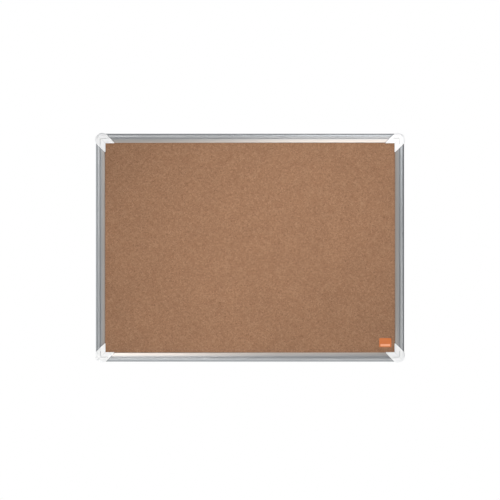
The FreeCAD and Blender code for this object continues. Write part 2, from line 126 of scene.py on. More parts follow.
class NoticeBoardSizes(bpy.types.PropertyGroup):
    """Sizes of the board's visible shapes that the frame's boxes don't give."""

    outer_wall: length("Outer wall", 1.4, "Thickness of the rail's outer wall")
    skin: length("Skin", 1.2, "Thickness of the rail's deck, web and lip")
    recess: length("Rear recess", 3.2, "Depth of the rail's deck below its rear rim")
    chamber_width: length("Chamber width", 6.6, "Room inside the rail for brackets and nuts")
    slot_width: length("Slot width", 4.4, "Mouth of the rail's rear slot")
    flange_reach: length("Flange reach", 6.4, "How far the deck reaches behind the panel")
    bead_radius: length("Bead radius", 4.9, "Radius of the rail's rounded outer edge")
    bead_width: length("Bead width", 8.5, "Where the bead ends and the groove starts")
    bead_fall: length("Bead fall", 0.3, "How far the bead falls from its crown to the groove")
    bead_rise: length("Bead rise", 0.5, "How far the bead's crown stands above the band")
    groove_width: length("Groove width", 1.5, "Width of the groove between bead and band")
    groove_depth: length("Groove depth", 0.8, "Depth of the groove below the bead's edge")
    band_fall: length("Band fall", 1.35, "How far the inner band slopes down towards the cork")
    cap_corner_radius: length("Cap corner radius", 14.0, "Outer corner radius of a cap")
    cap_end: length("Cap end", 19.0, "Where a cap's 45 degree end meets the rail's outer face")
    cap_reach: length("Cap reach", 0.8, "How far a cap covers the cork past the rail's lip")
    cap_clearance: length("Cap clearance", 0.15, "Gap between a cap and the rail inside it")
    cap_wing_height: length("Wing height", 0.8, "How far a cap stands above the rail at its wing ends")
    cap_edge_radius: length("Wing edge radius", 0.35, "Rounding of a wing's end")
    cork_pitch: length("Cork pitch", 1.8, "Spacing of the cork surface's points")
    cork_relief: length("Cork relief", 0.07, "Depth of the hollows between pressed granules")
    label_edge: length("Label edge", 0.12, "Rounding of the label's rim")
    bumper_edge: length("Bumper edge", 0.5, "Rounding of a bumper's rim")
    moulded_edge: length("Moulded edge", 0.25, "Rounding of a bracket's edges")
    pressed_edge: length("Pressed edge", 0.12, "Rounding of the hangers' and screws' edges")


class NoticeBoardColours(bpy.types.PropertyGroup):
    """Colours of the board's finishes."""

    cork: colour("Cork", 148, 111, 84, "Middle tone of the pressed cork")
    cork_dark: colour("Dark granules", 114, 77, 54, "Bark granules in the cork")
    cork_light: colour("Light granules", 174, 137, 108, "Pale granules in the cork")
    aluminium: colour("Aluminium", 162, 165, 168, "Satin anodised aluminium")
    cap: colour("Cap", 243, 244, 245, "Near-white moulded plastic")
    bracket: colour("Bracket", 74, 76, 79, "Dark grey moulded plastic")
    liner: colour("Liner", 176, 160, 138, "Kraft paper on the panel's back")
    softboard: colour("Softboard", 150, 122, 90, "Wood fibre of the core board")
    zinc: colour("Zinc", 196, 198, 196, "Zinc plated steel")
    rubber: colour("Rubber", 44, 44, 46, "Wall bumpers")
    label: colour("Label", 204, 106, 32, "Plain orange of the small label")
    stripe: colour("Label stripe", 236, 160, 118, "Plain pale bar on the label")
    floor: colour("Floor", 246, 246, 245, "Plain pale floor")


class NoticeBoardStage(bpy.types.PropertyGroup):
    """Camera, lights and floor."""

    view_width: length("View width", 972.0, "Width that the camera sees at the board's face")
    camera_distance: length("Camera distance", 3000.0, "From the camera to the board's face")
    view_drop: length("View drop", 4.5, "How far the camera looks below the board's middle")
    floor_drop: length("Floor drop", 950.0, "From the board's middle down to the floor")
    floor_radius: length("Floor radius", 2200.0, "Radius of the round floor")
    ambient: bpy.props.FloatProperty(
        name="Ambient", default=0.28, min=0, description="Brightness of the room's even light"
    )
    upper_left: power("Upper left softbox", 0.495, "Above and left, mirrored by the bottom rail")
    lower_right: power("Lower right softbox", 0.71, "Below and right, mirrored by the top rail")
    upper_right: power("Upper right strip", 0.31, "Mirrored by the upper right beads")
    lower_left: power("Lower left strip", 0.11, "Mirrored by the lower left beads")
    left_strip: power("Left strip", 0.1, "Upright, mirrored by the left bead")
    left_card: power("Left card", 4.5, "Broad and dim, mirrored by the left bead")
    left_side: power("Left side softbox", 7, "Beside the board's left face")
    top: power("Top softbox", 4, "Above the board")
    key_right: power("Right key light", 62, "Round, in front and to the right")
    key_top: power("Top key light", 36, "Round, in front and above")
    edge: power("Edge light", 27, "Light whose edge crosses the cork")
    front_fill: power("Front fill light", 19, "Low light in front")
    right_fill: power("Right fill light", 28, "Low light to the right")
    floor_light: power("Floor softbox", 52, "Looks down at the floor")
    rear: power("Rear softbox", 25, "Behind the board")


# ---- surfaces
def rounded_outline(corners, steps=10):
    """A closed outline of (u, d) corners, each given with the radius of the arc that replaces it.

    With unit directions p and q from a corner to its neighbours, and half the angle between them h, the arc
    of radius r is centred r / sin h along the bisector, and touches both sides r / tan h from the corner.
    """
    values = np.array(corners, float)
    tip, radius = values[:, :2], values[:, 2]

    def unit(vectors):
        return vectors / np.linalg.norm(vectors, axis=1, keepdims=True)

    before = unit(np.roll(tip, 1, axis=0) - tip)
    after = unit(np.roll(tip, -1, axis=0) - tip)
    half = np.arccos(np.clip((before * after).sum(1), -1, 1)) / 2
    centre = tip + unit(before + after) * (radius / np.sin(half))[:, None]
    first = tip + before * (radius / np.tan(half))[:, None] - centre
    last = tip + after * (radius / np.tan(half))[:, None] - centre
    start = np.arctan2(first[:, 1], first[:, 0])
    sweep = np.arctan2(last[:, 1], last[:, 0]) - start
    sweep = (sweep + np.pi) % (2 * np.pi) - np.pi
    angle = start[:, None] + sweep[:, None] * np.linspace(0, 1, steps + 1)
    arcs = np.stack([np.cos(angle), np.sin(angle)], -1) * radius[:, None, None]
    return (centre[:, None] + arcs).reshape(-1, 2)


def closed(outline):
    """The outline with its first point repeated at its end."""
    return np.concatenate([outline, outline[:1]])


def outline_length(outline):
    """Distance along an outline at each of its points."""
    return np.concatenate([[0], np.cumsum(np.linalg.norm(np.diff(outline, axis=0), axis=1))])


def grid_mesh(name, points, uv=None, masks=None, flat_ends=False):
    """A mesh from a rows by columns grid of points. Neighbours are joined by quads.

    With flat_ends, the first and last rows each become one more face. Any boundary that is left is filled.
    Each mask is one more grid of numbers, kept on the points under its name for the material to read.
    """
    rows, columns = points.shape[:2]
    index = np.arange(rows * columns).reshape(rows, columns)
    quads = np.stack([index[:-1, :-1], index[1:, :-1], index[1:, 1:], index[:-1, 1:]], -1).reshape(-1, 4)
    corners, counts = [quads.ravel()], [np.full(len(quads), 4)]
    if flat_ends:
        corners += [index[0, :-1], index[-1, :-1]]
        counts += [[columns - 1], [columns - 1]]
    corners, counts = np.concatenate(corners), np.concatenate(counts)
    mesh = bpy.data.meshes.new(name)
    mesh.vertices.add(rows * columns)
    mesh.vertices.foreach_set("co", points.astype(np.float32).ravel())
    mesh.loops.add(len(corners))
    mesh.loops.foreach_set("vertex_index", corners.astype(np.int32))
    mesh.polygons.add(len(counts))
    mesh.polygons.foreach_set("loop_start", (np.cumsum(counts) - counts).astype(np.int32))
    mesh.update(calc_edges=True)
    if uv is not None:
        layer = mesh.uv_layers.new(name="Surface map")
        layer.data.foreach_set("uv", uv.reshape(-1, 2)[corners].astype(np.float32).ravel())
    for key, values in (masks or {}).items():
        mask = mesh.attributes.new(name=key, type="FLOAT", domain="POINT")
        mask.data.foreach_set("value", values.astype(np.float32).ravel())
    rework(mesh, fill_boundaries)
    mesh.shade_smooth()
    mesh.set_sharp_from_angle(angle=SHARP_ANGLE)
    return mesh


def rework(mesh, change):
    """Merges the points of a mesh that meet, makes one change to it, and turns its faces outward."""
    work = bmesh.new()
    work.from_mesh(mesh)
    bmesh.ops.remove_doubles(work, verts=work.verts, dist=MERGE_DISTANCE)
    change(work)
    bmesh.ops.recalc_face_normals(work, faces=work.faces)
    work.to_mesh(mesh)
    work.free()


def fill_boundaries(work):
    """Fills every open boundary with a face."""
    rim = [edge for edge in work.edges if edge.is_boundary]
    if rim:
        bmesh.ops.holes_fill(work, edges=rim, sides=0)


def join_flat_faces(work):
    """Joins the triangles of each flat face."""
    bmesh.ops.dissolve_limit(work, angle_limit=FLAT_ANGLE, verts=work.verts, edges=work.edges)


def new_object(name, data):
    """A new object in the scene."""
    made = bpy.data.objects.new(name, data)
    bpy.context.scene.collection.objects.link(made)
    return made


def add_piece(mesh, body, material, slot, *nodes):
    """Puts a finished mesh in the scene as a piece that rides on a body and stands for CAD nodes."""
    piece = new_object(mesh.name, mesh)
    mesh.materials.append(material)
    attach(piece, body)
    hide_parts(*nodes)
    return piece


def body_of(name):
    """The body that a CAD node belongs to."""
    bodies = frame["record"]["behaviour"]["bodies"]
    return next(body for body, nodes in bodies.items() if name in nodes)


def eased_copy(name, edge, material, slot):
    """A CAD node's shape with its sharp edges rounded over."""
    mesh = frame["nodes"][name].data.copy()
    mesh.name = f"{name}_eased"
    mesh.materials.clear()
    rework(mesh, join_flat_faces)
    piece = add_piece(mesh, body_of(name), material, slot, name)
    bevel = piece.modifiers.new("Eased edges", "BEVEL")
    bevel.width = edge
    bevel.segments = 2
    bevel.limit_method = "ANGLE"
    bevel.angle_limit = BEVEL_ANGLE
    bevel.use_clamp_overlap = True
    mesh.shade_smooth()
    mesh.set_sharp_from_angle(angle=SMOOTH_ANGLE)


# ---- shader helpers
def node(tree, kind, values=None, **settings):
    """Adds a shader node, sets its properties, and fills its inputs with values or with other sockets."""
    made = tree.nodes.new(f"ShaderNode{kind}")
    for key, value in settings.items():
        setattr(made, key, value)
    for key, value in (values or {}).items():
        fill(tree, made.inputs[key], value)
    return made


def fill(tree, socket, value):
    """Links an input to another socket, or gives it a number, a vector or an opaque colour."""
    if isinstance(value, bpy.types.NodeSocket):
        tree.links.new(value, socket)
    else:
        socket.default_value = (*value[:3], 1.0) if socket.type == "RGBA" else value


def maths(tree, operation, first, second):
    """One sum, product or other operation on two numbers."""
    return node(tree, "Math", {0: first, 1: second}, operation=operation).outputs[0]


def moved(tree, operation, vector, values):
    """A vector after an operation with the values of its other inputs."""
    return node(tree, "VectorMath", {0: vector, **values}, operation=operation).outputs[0]


def weighted(tree, *parts):
    """The sum of some values, each times its share."""
    total = None
    for value, share in parts:
        part = value if share == 1 else maths(tree, "MULTIPLY", value, share)
        total = part if total is None else maths(tree, "ADD", total, part)
    return total


def remap(tree, value, low, high, new_low=0.0, new_high=1.0):
    """A value moved from one range to another, and held inside it."""
    values = {"Value": value, "From Min": low, "From Max": high, "To Min": new_low, "To Max": new_high}
    return node(tree, "MapRange", values).outputs[0]


def tinted(tree, factor, first, second, blend="MIX"):
    """Two colours mixed by a factor."""
    return node(tree, "Mix", {0: factor, 6: first, 7: second}, data_type="RGBA", blend_type=blend).outputs[2]


def noise(tree, vector, scale, detail=3.0, roughness=0.55):
    """Soft noise from 0 to 1."""
    values = {"Vector": vector, "Scale": scale, "Detail": detail, "Roughness": roughness}
    return node(tree, "TexNoise", values).outputs[0]


def cells(tree, vector, scale, feature="F1"):
    """A pattern of cells, or of the distance to their edges."""
    return node(tree, "TexVoronoi", {"Vector": vector, "Scale": scale}, feature=feature).outputs


def stretched(tree, vector, scale):
    """A vector multiplied along each axis."""
    return node(tree, "Mapping", {"Vector": vector, "Scale": scale}).outputs[0]


def bump(tree, height, strength, distance):
    """A normal from a height in its own units."""
    return node(tree, "Bump", {"Height": height, "Strength": strength, "Distance": distance}).outputs[0]


def carried(tree, name):
    """A mask that the mesh carries on its points."""
    return node(tree, "Attribute", attribute_name=name).outputs["Fac"]


def effect_group(name, numbers, outputs):
    """An empty shader node group: its tree, vector and inputs, and a function that connects its outputs."""
    tree = bpy.data.node_groups.new(name, "ShaderNodeTree")
    tree.interface.new_socket(name="Vector", in_out="INPUT", socket_type="NodeSocketVector")
    for key, default in numbers.items():
        made = tree.interface.new_socket(name=key, in_out="INPUT", socket_type="NodeSocketFloat")
        made.default_value = default
    for key in outputs:
        tree.interface.new_socket(name=key, in_out="OUTPUT", socket_type="NodeSocketFloat")
    entry, leave = tree.nodes.new("NodeGroupInput"), tree.nodes.new("NodeGroupOutput")

    def connect(key, socket):
        tree.links.new(socket, leave.inputs[key])

    return tree, entry.outputs["Vector"], entry.outputs, connect


def effect(tree, name, values):
    """The outputs of an effect group in a material. The group is built when it's first asked for."""
    group = bpy.data.node_groups.get(name) or EFFECTS[name](name)
    return node(tree, "Group", values, node_tree=group).outputs


def build_granules(name):
    """Pressed granules of a given size: a tone for each granule, its joint lines and its height."""
    outputs = ("Tone", "Joints", "Height")
    tree, place, entry, leave = effect_group(name, {"Size": 2 * MM, "Joint": 0.12}, outputs)
    scale = maths(tree, "DIVIDE", 1.0, entry["Size"])
    spots = cells(tree, place, scale)
    edges = cells(tree, place, scale, "DISTANCE_TO_EDGE")
    tone = node(tree, "SeparateColor", {"Color": spots["Color"]}).outputs[0]
    joints = remap(tree, edges["Distance"], 0.0, entry["Joint"], 1.0, 0.0)
    crown = maths(tree, "SUBTRACT", 1.0, joints)
    leave("Tone", tone)
    leave("Joints", joints)
    leave("Height", maths(tree, "MULTIPLY", crown, remap(tree, tone, 0.0, 1.0, 0.55, 1.0)))
    return tree


def build_handling(name):
    """Light use: smudges of a given size and sparse fine scratches."""
    numbers = {"Smudge size": 40 * MM, "Scratch size": 3 * MM}
    tree, place, entry, leave = effect_group(name, numbers, ("Smudges", "Scratches"))
    cloud = noise(tree, place, maths(tree, "DIVIDE", 1.0, entry["Smudge size"]), 4.0, 0.6)
    leave("Smudges", remap(tree, cloud, 0.35, 0.7))
    warp = noise(tree, place, maths(tree, "DIVIDE", 0.4, entry["Scratch size"]), 2.0)
    bent = stretched(tree, moved(tree, "ADD", place, {1: warp}), (1.0, 0.35, 0.12))
    scale = maths(tree, "DIVIDE", 1.0, entry["Scratch size"])
    lines = cells(tree, bent, scale, "DISTANCE_TO_EDGE")["Distance"]
    sparse = remap(tree, noise(tree, place, 90.0, 1.0), 0.55, 0.7)
    leave("Scratches", maths(tree, "MULTIPLY", remap(tree, lines, 0.0, 0.02, 1.0, 0.0), sparse))
    return tree


def build_dust(name):
    """Fine dust: more on faces that look up, broken up by soft noise."""
    tree, place, entry, leave = effect_group(name, {"Amount": 0.2}, ("Dust",))
    normal = node(tree, "NewGeometry").outputs["Normal"]
    lying = remap(tree, node(tree, "SeparateXYZ", {0: normal}).outputs[2], 0.2, 1.0, 0.1, 1.0)
    patchy = remap(tree, noise(tree, place, 220.0, 5.0, 0.7), 0.35, 0.75)
    leave("Dust", maths(tree, "MULTIPLY", maths(tree, "MULTIPLY", lying, patchy), entry["Amount"]))
    return tree


def build_fine_grain(name):
    """The fine texture of a moulded or rolled surface, as a height and a tone."""
    tree, place, entry, leave = effect_group(name, {"Size": 0.5 * MM}, ("Height", "Tone"))
    scale = maths(tree, "DIVIDE", 1.0, entry["Size"])
    fine = noise(tree, place, scale, 2.0)
    wide = noise(tree, place, maths(tree, "MULTIPLY", scale, 0.05), 3.0)
    leave("Height", fine)
    leave("Tone", weighted(tree, (fine, 0.35), (wide, 0.65)))
    return tree


EFFECTS = {
    "Granules": build_granules, "Handling marks": build_handling,
    "Fine dust": build_dust, "Fine grain": build_fine_grain,
}


def new_material(name, **constants):
    """A material with one Principled shader whose constants are set on its own sockets."""
    material = bpy.data.materials.new(name)
    material.use_nodes = True
    tree = material.node_tree
    shader = tree.nodes["Principled BSDF"]
    feed(tree, shader, **constants)
    place = tree.nodes.new("ShaderNodeTexCoord")
    return material, tree, shader, place.outputs["Object"]


def feed(tree, shader, **inputs):
    """Gives a shader's inputs their constants or finished sockets."""
    for key, value in inputs.items():
        fill(tree, shader.inputs[key.replace("_", " ")], value)


def brightened(value, factor):
    """A colour made lighter or darker."""
    return tuple(min(1.0, part * factor) for part in value[:3])


def varied(tree, tone, low, high, base, dark, light=1.0):
    """A base colour from its darker to its lighter form as a tone goes from low to high."""
    return tinted(tree, remap(tree, tone, low, high), brightened(base, dark), brightened(base, light))


# ---- materials
def cork_material(colours):
    """Pressed cork: granules of two sizes, dark bark flecks, joint lines and soft mottling."""
    material, tree, shader, place = new_material("Pressed cork", Specular_IOR_Level=0.25)
    sway = node(tree, "TexNoise", {"Vector": place, "Scale": 260.0, "Detail": 2.0}).outputs[1]
    sway = moved(tree, "SUBTRACT", sway, {1: (0.5, 0.5, 0.5)})
    bent = moved(tree, "ADD", place, {1: moved(tree, "SCALE", sway, {3: 2.2 * MM})})
    coarse = effect(tree, "Granules", {"Vector": bent, "Size": 2.6 * MM, "Joint": 0.10})
    fine = effect(tree, "Granules", {"Vector": bent, "Size": 1.1 * MM, "Joint": 0.16})
    tone = weighted(tree, (coarse["Tone"], 0.55), (fine["Tone"], 0.45))
    pale = tinted(tree, remap(tree, tone, 0.5, 0.95, 0.0, 0.55), colours.cork, colours.cork_light)
    brown = tinted(tree, remap(tree, tone, 0.45, 0.1, 0.0, 0.33), pale, colours.cork_dark)
    bark = maths(tree, "MULTIPLY", fine["Tone"], noise(tree, place, 900.0, 1.0))
    fleck = remap(tree, bark, 0.045, 0.02, 0.0, 0.42)
    flecked = tinted(tree, fleck, brown, brightened(colours.cork_dark, 0.55))
    joints = weighted(tree, (coarse["Joints"], 0.16), (fine["Joints"], 0.10))
    jointed = tinted(tree, joints, flecked, brightened(colours.cork_dark, 0.8))
    patches = remap(tree, noise(tree, place, 38.0, 4.0), 0.3, 0.7, -0.035, 0.035)
    clouds = remap(tree, noise(tree, place, 9.0, 2.0), 0.3, 0.7, -0.02, 0.02)
    level = maths(tree, "ADD", 1.0, maths(tree, "ADD", patches, clouds))
    shade = node(tree, "CombineColor", {0: level, 1: level, 2: level}).outputs[0]
    height = weighted(tree, (coarse["Height"], 0.6), (fine["Height"], 0.4))
    mottled = tinted(tree, 1.0, jointed, shade, "MULTIPLY")
    feed(tree, shader, Base_Color=mottled, Roughness=remap(tree, tone, 0.0, 1.0, 0.95, 0.8))
    feed(tree, shader, Normal=bump(tree, height, 0.5, 0.22 * MM))
    return material


def aluminium_material(colours):
    """Satin anodised extrusion: faint die lines along each rail, soft smudges and a little dust.

    Painted shade darkens the groove and the strip beside a cap, and a painted reflection of the cork gives
    the band some of the cork's warm colour.
    """
    material, tree, shader, place = new_material("Satin aluminium", Metallic=1.0)
    along = node(tree, "UVMap", uv_map="Surface map").outputs[0]
    lines = noise(tree, stretched(tree, along, (2.0, 2600.0, 1.0)), 1.0, 4.0, 0.65)
    satin = noise(tree, stretched(tree, along, (90.0, 5200.0, 1.0)), 1.0, 2.0, 0.5)
    marks = effect(tree, "Handling marks", {"Vector": place, "Smudge size": 55 * MM})
    dust = effect(tree, "Fine dust", {"Vector": place, "Amount": 0.25})["Dust"]
    tone = weighted(tree, (lines, 0.6), (satin, 0.4))
    bright = varied(tree, tone, 0.3, 0.7, colours.aluminium, 0.95)
    # Painted reflection of the cork: the band's colour is warmed towards the cork's by the band mask.
    warm = [part * share for part, share in zip(colours.aluminium, (1.10, 0.99, 0.90))]
    with_cork_reflection = tinted(tree, remap(tree, carried(tree, "Cork side"), 0.0, 0.6), bright, warm)
    # Painted shadow of a cap's step on the rail beside it, and painted shade in the groove: both darken the
    # base colour.
    cap_step_shadow = remap(tree, carried(tree, "From cap"), 0.0, 2.2 * MM, 0.75, 0.0)
    painted_shade = maths(tree, "MAXIMUM", carried(tree, "Hollow"), cap_step_shadow)
    with_painted_shade = tinted(tree, maths(tree, "MULTIPLY", painted_shade, 0.6), with_cork_reflection, (0.16, 0.165, 0.17))
    rough = weighted(tree, (remap(tree, tone, 0.3, 0.7, 0.3, 0.36), 1), (marks["Smudges"], 0.03), (dust, 0.5))
    feed(tree, shader, Base_Color=tinted(tree, dust, with_painted_shade, (0.5, 0.48, 0.45)))
    feed(tree, shader, Roughness=rough, Normal=bump(tree, tone, 0.12, 0.02 * MM))
    return material


def plastic_material(name, base, roughness, grain_size, dust_amount):
    """Moulded plastic with a fine grain, smudges, hairline scratches and dust on what faces up, and painted
    shade where the mesh marks grooves and creases.
    """
    material, tree, shader, place = new_material(name)
    grain = effect(tree, "Fine grain", {"Vector": place, "Size": grain_size})
    marks = effect(tree, "Handling marks", {"Vector": place, "Smudge size": 18 * MM})
    dust = effect(tree, "Fine dust", {"Vector": place, "Amount": dust_amount})["Dust"]
    body = varied(tree, grain["Tone"], 0.3, 0.7, base, 0.965)
    # Painted shade: grooves and the mitre crease are darkened by the mesh's mask.
    painted_shade = maths(tree, "MULTIPLY", carried(tree, "Hollow"), 0.5)
    shaded = tinted(tree, painted_shade, body, brightened(base, 0.42))
    rough = weighted(tree, (roughness, 1), (marks["Smudges"], 0.07), (marks["Scratches"], 0.12))
    feed(tree, shader, Base_Color=tinted(tree, dust, shaded, (0.42, 0.40, 0.37)))
    feed(tree, shader, Roughness=rough, Normal=bump(tree, grain["Height"], 0.2, 0.03 * MM))
    return material


def zinc_material(colours):
    """Zinc plated steel: a cloudy metal with a fine rolled grain and scratches."""
    material, tree, shader, place = new_material("Zinc plated steel", Metallic=1.0)
    grain = effect(tree, "Fine grain", {"Vector": place, "Size": 0.35 * MM})
    wear = {"Vector": place, "Smudge size": 9 * MM, "Scratch size": 2 * MM}
    marks = effect(tree, "Handling marks", wear)
    cloud = noise(tree, place, 260.0, 5.0, 0.6)
    body = varied(tree, cloud, 0.35, 0.65, colours.zinc, 0.8)
    bluish = remap(tree, noise(tree, place, 110.0, 2.0), 0.45, 0.7, 0.0, 0.3)
    rough = weighted(tree, (remap(tree, cloud, 0.3, 0.7, 0.28, 0.42), 1), (marks["Scratches"], 0.15))
    feed(tree, shader, Base_Color=tinted(tree, bluish, body, (0.50, 0.53, 0.58)))
    feed(tree, shader, Roughness=rough, Normal=bump(tree, grain["Height"], 0.15, 0.02 * MM))
    return material


def liner_material(colours):
    """Kraft paper: long fibres, flecks and faint waves from the glue."""
    material, tree, shader, place = new_material("Kraft liner", Specular_IOR_Level=0.2)
    fibres = noise(tree, stretched(tree, place, (260.0, 900.0, 2600.0)), 1.0, 4.0, 0.7)
    cross = noise(tree, stretched(tree, place, (2400.0, 900.0, 420.0)), 1.0, 3.0, 0.7)
    tone = weighted(tree, (fibres, 0.6), (cross, 0.4))
    paper = varied(tree, tone, 0.35, 0.65, colours.liner, 0.84, 1.08)
    fleck = remap(tree, noise(tree, place, 1400.0, 2.0, 0.8), 0.70, 0.78, 0.0, 0.5)
    flecked = tinted(tree, fleck, paper, brightened(colours.liner, 0.45))
    wave = noise(tree, stretched(tree, place, (14.0, 1.0, 9.0)), 1.0, 3.0)
    cloud = tinted(tree, remap(tree, wave, 0.35, 0.65, 0.0, 0.10), flecked, brightened(colours.liner, 0.6))
    height = weighted(tree, (tone, 0.08), (wave, 1))
    feed(tree, shader, Base_Color=cloud, Roughness=remap(tree, tone, 0.3, 0.7, 0.72, 0.88))
    feed(tree, shader, Normal=bump(tree, height, 0.5, 0.5 * MM))
    return material


def softboard_material(colours):
    """Soft fibre board: matted fibres with coarse chips."""
    material, tree, shader, place = new_material("Fibre core", Specular_IOR_Level=0.15)
    chips = effect(tree, "Granules", {"Vector": place, "Size": 1.8 * MM, "Joint": 0.2})
    fibres = noise(tree, stretched(tree, place, (300.0, 1600.0, 500.0)), 1.0, 5.0, 0.7)
    tone = weighted(tree, (chips["Tone"], 0.4), (fibres, 0.6))
    body = varied(tree, tone, 0.25, 0.75, colours.softboard, 0.7, 1.15)
    feed(tree, shader, Base_Color=body, Roughness=remap(tree, tone, 0.2, 0.8, 0.95, 0.82))
    feed(tree, shader, Normal=bump(tree, fibres, 0.6, 0.3 * MM))
    return material


def label_material(colours, bar):
    """A printed sticker: plain orange with one plain pale bar, under a thin satin film."""
    material, tree, shader, place = new_material("Printed label", Coat_Weight=0.3, Coat_Roughness=0.25)
    x, _, z = node(tree, "SeparateXYZ", {0: place}).outputs
    (left, low), (right, high) = bar

    def inside(value, start, end):
        rise = remap(tree, value, start - BAR_BLUR, start + BAR_BLUR)
        fall = remap(tree, value, end - BAR_BLUR, end + BAR_BLUR, 1.0, 0.0)
        return maths(tree, "MULTIPLY", rise, fall)

    printed = maths(tree, "MULTIPLY", inside(x, left, right), inside(z, low, high))
    grain = effect(tree, "Fine grain", {"Vector": place, "Size": 0.25 * MM})
    marks = effect(tree, "Handling marks", {"Vector": place, "Smudge size": 8 * MM})
    ink = varied(tree, grain["Tone"], 0.3, 0.7, colours.label, 0.93)
    feed(tree, shader, Base_Color=tinted(tree, printed, ink, colours.stripe))
    feed(tree, shader, Roughness=weighted(tree, (0.38, 1), (marks["Smudges"], 0.1)))
    feed(tree, shader, Normal=bump(tree, grain["Height"], 0.12, 0.02 * MM))
    return material


def floor_material(colours):
    """A plain pale floor with a faint cloudiness."""
    material, tree, shader, place = new_material("Pale floor", Specular_IOR_Level=0.2, Roughness=0.85)
    cloud = noise(tree, place, 3.0, 4.0)
    feed(tree, shader, Base_Color=tinted(tree, cloud, brightened(colours.floor, 0.97), colours.floor))
    return material


# ---- sections
def band_depths(sizes):
    """Depths of the bead's edge, the groove's floor and the band's two ends, and where the band starts."""
    bead_end = CROWN - sizes.bead_fall
    band_high = CROWN - sizes.bead_rise
    band_low = band_high - sizes.band_fall
    return bead_end, bead_end - sizes.groove_depth, band_high, band_low, sizes.bead_width + sizes.groove_width


def front_corners(sizes, grow, outer, edge, soften):
    """Corners of a rail's front from its outer face to its inner edge, raised and moved out by grow."""
    bead_end, floor, band_high, band_low, band_start = band_depths(sizes)
    shoulder = (sizes.bead_radius + sizes.bead_width) / 2
    return [
        (-outer, CROWN + grow, sizes.bead_radius + grow),
        (shoulder, CROWN + grow, CROWN_RADIUS),
        (sizes.bead_width, bead_end + grow, LIP_EDGE + soften),
        (sizes.bead_width + GROOVE_DRAFT, floor + grow, FLOOR_EDGE + soften / 3),
        (band_start - GROOVE_DRAFT, floor + grow, FLOOR_EDGE + soften / 3),
        (band_start, band_high + grow, LIP_EDGE + soften),
        (edge - NOSE_WIDTH, band_low + grow, 5 * FINE_EDGE + soften / 2),
        (edge, band_low + grow - NOSE_FALL, 3 * FINE_EDGE),
    ]


def rail_outline(sizes):
    """The whole extrusion: front, panel channel, rear deck with its slot, and the chamber behind the bead."""
    bead_end, floor, _, _, _ = band_depths(sizes)
    wall, skin, radius = sizes.outer_wall, sizes.skin, sizes.bead_radius
    web = wall + sizes.chamber_width
    web_inner, tip = web + skin, web + skin + sizes.flange_reach
    slot = wall + sizes.chamber_width / 2
    low, high = slot - sizes.slot_width / 2, slot + sizes.slot_width / 2
    deck, rear, lip = sizes.recess + skin, sizes.recess, CORK_FACE + LIP_GAP
    pad, pad_top, fine = RAIL_WIDTH - 1.8 * MM, lip + 0.5 * MM, FINE_EDGE
    return rounded_outline([
        (0, 0, 2 * fine), *front_corners(sizes, 0, 0, RAIL_WIDTH, 0),
        (RAIL_WIDTH, lip, fine), (pad, lip, fine), (pad, pad_top, fine),
        (web_inner, floor - skin, 2 * fine), (web_inner, deck, fine),
        (tip, deck, 3 * fine), (tip, rear, 3 * fine), (high, rear, fine), (high, deck, fine),
        (web, deck, fine), (web, bead_end - wall, 3 * fine), (wall, CROWN - wall, radius - wall),
        (wall, deck, fine), (low, deck, fine), (low, rear, fine), (wall, rear, fine), (wall, 0, 2 * fine),
    ])


def cap_outline(sizes, grow):
    """A cap's wall at one place: its outer surface grown from the rail's, and the room inside it."""
    edge, gap, lip = RAIL_WIDTH + sizes.cap_reach, sizes.cap_clearance, CORK_FACE + LIP_GAP
    room = front_corners(sizes, gap, gap, RAIL_WIDTH + gap, 0)
    return rounded_outline([
        (-grow, 0, LIP_EDGE), *front_corners(sizes, grow, grow, edge, LIP_EDGE),
        (edge, lip, FINE_EDGE), (RAIL_WIDTH + gap, lip, FINE_EDGE), *room[::-1], (-gap, 0, FLOOR_EDGE),
    ])


def hollow_mask(u, d, sizes, grow=0.0):
    """How deep each point of a section lies in the front groove: 0 at its lips and 1 on its floor."""
    lip = CROWN + grow - sizes.bead_fall
    sunk = (lip - d) / sizes.groove_depth
    across = (u > sizes.bead_width) & (u < sizes.bead_width + sizes.groove_width)
    return np.where(across & (d > lip - 1.5 * sizes.groove_depth), np.clip(sunk, 0, 1), 0)


# ---- pieces
def rail_mesh(side, sizes):
    """One rail: the closed section carried in a straight line from cap to cap.

    The mask "From cap" is the distance from a cap's 45 degree end, which starts cap_end + u from the corner.
    The band mask grows from 0 at the groove to 1 at the cork, and sets how much painted reflection of the
    cork's warm colour the band gets.
    """
    outline = closed(rail_outline(sizes))
    run = HALF_WIDTH if side in ("top", "bottom") else HALF_HEIGHT
    along = np.linspace(RAIL_START - run, run - RAIL_START, 9)
    s, u = np.meshgrid(along, outline[:, 0], indexing="ij")
    d = np.broadcast_to(outline[:, 1], s.shape)
    x, z = {
        "top": (s, HALF_HEIGHT - u), "bottom": (s, u - HALF_HEIGHT),
        "left": (u - HALF_WIDTH, s), "right": (HALF_WIDTH - u, s),
    }[side]
    uv = np.stack(np.broadcast_arrays(s + run * SIDES.index(side), outline_length(outline)), -1)
    band_start = sizes.bead_width + sizes.groove_width
    # Masks for painted shade in the groove, for the painted shadow beside a cap, and for the painted cork
    # reflection on the band.
    masks = {
        "Hollow": hollow_mask(u, d, sizes), "From cap": run - np.abs(s) - sizes.cap_end - u,
        "Cork side": np.where(d > CORK_FACE, np.clip((u - band_start) / (RAIL_WIDTH - band_start), 0, 1), 0),
    }
    return grid_mesh(f"{side}_rail_extrusion", np.stack([x, RIM - d, z], -1), uv, masks, flat_ends=True)


